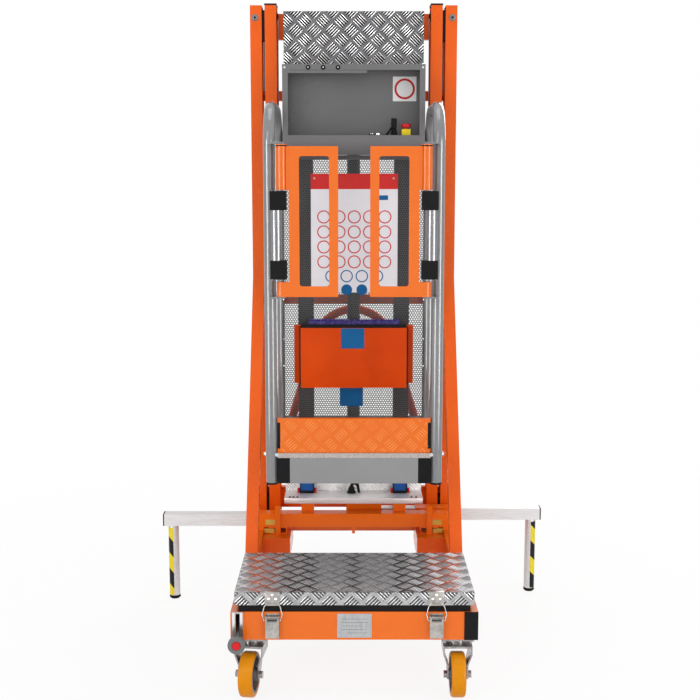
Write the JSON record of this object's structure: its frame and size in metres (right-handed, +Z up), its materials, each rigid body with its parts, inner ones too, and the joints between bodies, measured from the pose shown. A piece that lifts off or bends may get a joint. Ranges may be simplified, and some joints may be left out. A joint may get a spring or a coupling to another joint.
{
  "type": "aerial work platform",
  "caption": "Push-around vertical mast lift with a caged basket, tread plate entry step over a battery tray, sliding outriggers, sprung gates and swivel casters.",
  "frame": {"origin": "on the ground under the middle of the machine's outline in plan", "axes": "+Z up; -Y towards the entry and the step, so +Y towards the mast; +X to the right of someone who looks at the entry"},
  "size_m": [1.282, 1.0984, 1.981],
  "materials": {
    "orange_paint": "semi-gloss powder coat",
    "red_orange_paint": "semi-gloss powder coat",
    "grey_paint": "semi-gloss powder coat",
    "dark_grey_paint": "satin powder coat",
    "zinc_steel": "zinc plated",
    "tread_aluminium": "rolled tread plate",
    "alloy": "satin anodised",
    "black_plastic": "satin moulding",
    "nylon": "slide pad",
    "seal_rubber": "matt",
    "buffer_blue": "satin",
    "grip_grey": "satin moulding",
    "wheel_grey": "painted",
    "amber_tread": "cast polyurethane",
    "battery_case": "satin moulding",
    "rope_steel": "stranded wire",
    "chrome": "bright",
    "stop_red": "gloss",
    "control_black": "satin moulding"
  },
  "bodies": {
    "chassis": {"chassis_frame": "orange_paint", "arm_guides": "orange_paint", "mast_outer": "orange_paint", "mast_members": "orange_paint", "side_braces": "orange_paint", "push_handle": "orange_paint", "front_fittings": "zinc_steel", "rubber_trim": "seal_rubber", "battery_pack": "battery_case", "power_unit": "dark_grey_paint", "lift_cylinder": "dark_grey_paint", "base_cover": "tread_aluminium", "buffers": "buffer_blue", "caster_plates": "zinc_steel", "rear_forks": "zinc_steel", "mast_pads": "nylon", "rope_anchor_runs": "rope_steel"},
    "lid": {"lid": "tread_aluminium"},
    "latch_lever_left": {"latch_lever_left": "zinc_steel"},
    "latch_lever_right": {"latch_lever_right": "zinc_steel"},
    "latch_bail_left": {"latch_bail_left": "zinc_steel"},
    "latch_bail_right": {"latch_bail_right": "zinc_steel"},
    "brake_lever": {"brake_lever": "grip_grey"},
    "outrigger_left": {"outrigger_arm_left": "alloy", "outrigger_ends_left": "seal_rubber"},
    "outrigger_right": {"outrigger_arm_right": "alloy", "outrigger_ends_right": "seal_rubber"},
    "caster_left": {"caster_fork_left": "zinc_steel"},
    "caster_right": {"caster_fork_right": "zinc_steel"},
    "wheel_front_left": {"wheel_core_left": "wheel_grey", "tyre_left": "amber_tread"},
    "wheel_front_right": {"wheel_core_right": "wheel_grey", "tyre_right": "amber_tread"},
    "wheel_rear_left": {"rear_wheel_left": "amber_tread"},
    "wheel_rear_right": {"rear_wheel_right": "amber_tread"},
    "mast_inner": {"mast_inner": "orange_paint", "mast_caps": "nylon", "rope_bends": "rope_steel", "cylinder_rod": "chrome", "rope_carriage_runs": "rope_steel"},
    "pulley_left": {"pulley_left": "nylon"},
    "pulley_right": {"pulley_right": "nylon"},
    "carriage": {"carriage_frame": "dark_grey_paint", "carriage_uprights": "dark_grey_paint", "carriage_pads": "nylon", "basket_hoops": "grey_paint", "basket_floor": "tread_aluminium", "fascia": "grey_paint", "toe_board": "orange_paint", "basket_mouldings": "black_plastic", "mesh_panel": "dark_grey_paint", "control_box": "dark_grey_paint", "top_plate": "tread_aluminium", "document_box": "red_orange_paint", "control_bases": "control_black"},
    "gate_left": {"gate_left": "orange_paint"},
    "gate_right": {"gate_right": "orange_paint"},
    "stop_button": {"stop_button": "stop_red"},
    "joystick": {"joystick": "control_black"},
    "push_button": {"push_button": "chrome"}
  },
  "joints": [
    {"name": "mast_lift", "type": "slide", "parent": "chassis", "child": "mast_inner", "axis": [0, 0, 1], "range_m": [0, 1.1], "deforming": ["rope_anchor_runs"]},
    {"name": "carriage_lift", "type": "slide", "parent": "mast_inner", "child": "carriage", "axis": [0, 0, 1], "range_m": [0, 1.1], "deforming": ["rope_carriage_runs"]},
    {"name": "pulley_left_turn", "type": "hinge", "parent": "mast_inner", "child": "pulley_left", "pos_m": [-0.274, 0.45416, 1.944], "axis": [0, 1, 0], "continuous": true},
    {"name": "pulley_right_turn", "type": "hinge", "parent": "mast_inner", "child": "pulley_right", "pos_m": [0.274, 0.45416, 1.944], "axis": [0, 1, 0], "continuous": true},
    {"name": "lid_hinge", "type": "hinge", "parent": "chassis", "child": "lid", "pos_m": [0, -0.14384, 0.254], "axis": [-1, 0, 0], "range_deg": [0, 75]},
    {"name": "latch_lever_left_turn", "type": "hinge", "parent": "chassis", "child": "latch_lever_left", "pos_m": [-0.225, -0.50084, 0.232], "axis": [-1, 0, 0], "range_deg": [0, 120]},
    {"name": "latch_bail_left_turn", "type": "hinge", "parent": "latch_lever_left", "child": "latch_bail_left", "pos_m": [-0.225, -0.50184, 0.223], "axis": [-1, 0, 0], "range_deg": [-156, 0]},
    {"name": "latch_lever_right_turn", "type": "hinge", "parent": "chassis", "child": "latch_lever_right", "pos_m": [0.225, -0.50084, 0.232], "axis": [-1, 0, 0], "range_deg": [0, 120]},
    {"name": "latch_bail_right_turn", "type": "hinge", "parent": "latch_lever_right", "child": "latch_bail_right", "pos_m": [0.225, -0.50184, 0.223], "axis": [-1, 0, 0], "range_deg": [-156, 0]},
    {"name": "brake_lever_lift", "type": "hinge", "parent": "chassis", "child": "brake_lever", "pos_m": [-0.32, -0.38084, 0.205], "axis": [-1, 0, 0], "range_deg": [0, 24]},
    {"name": "outrigger_left_slide", "type": "slide", "parent": "chassis", "child": "outrigger_left", "axis": [1, 0, 0], "range_m": [0, 0.24]},
    {"name": "outrigger_right_slide", "type": "slide", "parent": "chassis", "child": "outrigger_right", "axis": [-1, 0, 0], "range_m": [0, 0.24]},
    {"name": "caster_left_swivel", "type": "hinge", "parent": "chassis", "child": "caster_left", "pos_m": [-0.285, -0.44584, 0.15], "axis": [0, 0, 1], "continuous": true},
    {"name": "caster_right_swivel", "type": "hinge", "parent": "chassis", "child": "caster_right", "pos_m": [0.285, -0.44584, 0.15], "axis": [0, 0, 1], "continuous": true},
    {"name": "wheel_front_left_spin", "type": "hinge", "parent": "caster_left", "child": "wheel_front_left", "pos_m": [-0.29057, -0.48546, 0.0625], "axis": [0.9903, -0.1392, 0], "continuous": true},
    {"name": "wheel_front_right_spin", "type": "hinge", "parent": "caster_right", "child": "wheel_front_right", "pos_m": [0.285, -0.48584, 0.0625], "axis": [1, 0, 0], "continuous": true},
    {"name": "wheel_rear_left_spin", "type": "hinge", "parent": "chassis", "child": "wheel_rear_left", "pos_m": [-0.256, 0.35916, 0.0625], "axis": [1, 0, 0], "continuous": true},
    {"name": "wheel_rear_right_spin", "type": "hinge", "parent": "chassis", "child": "wheel_rear_right", "pos_m": [0.256, 0.35916, 0.0625], "axis": [1, 0, 0], "continuous": true},
    {"name": "gate_left_swing", "type": "hinge", "parent": "carriage", "child": "gate_left", "pos_m": [-0.209, -0.15284, 1.29], "axis": [0, 0, 1], "range_deg": [0, 90], "stiffness_Nm_per_rad": 2},
    {"name": "gate_right_swing", "type": "hinge", "parent": "carriage", "child": "gate_right", "pos_m": [0.209, -0.15284, 1.29], "axis": [0, 0, -1], "range_deg": [0, 90], "stiffness_Nm_per_rad": 2},
    {"name": "joystick_tilt", "type": "hinge", "parent": "carriage", "child": "joystick", "pos_m": [0.13, 0.29916, 1.544], "axis": [1, 0, 0], "range_deg": [-20, 20], "stiffness_Nm_per_rad": 0.3},
    {"name": "stop_press", "type": "slide", "parent": "carriage", "child": "stop_button", "axis": [0, 0, -1], "range_m": [0, 0.004]},
    {"name": "push_press", "type": "slide", "parent": "carriage", "child": "push_button", "axis": [0, 0, -1], "range_m": [0, 0.003], "stiffness_N_per_m": 300}
  ],
  "couplings": [
    {"joint": "carriage_lift", "follows": "mast_lift", "ratio": 1},
    {"joint": "pulley_right_turn", "follows": "mast_lift", "rad_per_m": 43.478},
    {"joint": "pulley_left_turn", "follows": "mast_lift", "rad_per_m": -43.478},
    {"joint": "latch_bail_left_turn", "follows": "latch_lever_left_turn", "ratio": -1.3},
    {"joint": "latch_bail_right_turn", "follows": "latch_lever_right_turn", "ratio": -1.3}
  ]
}
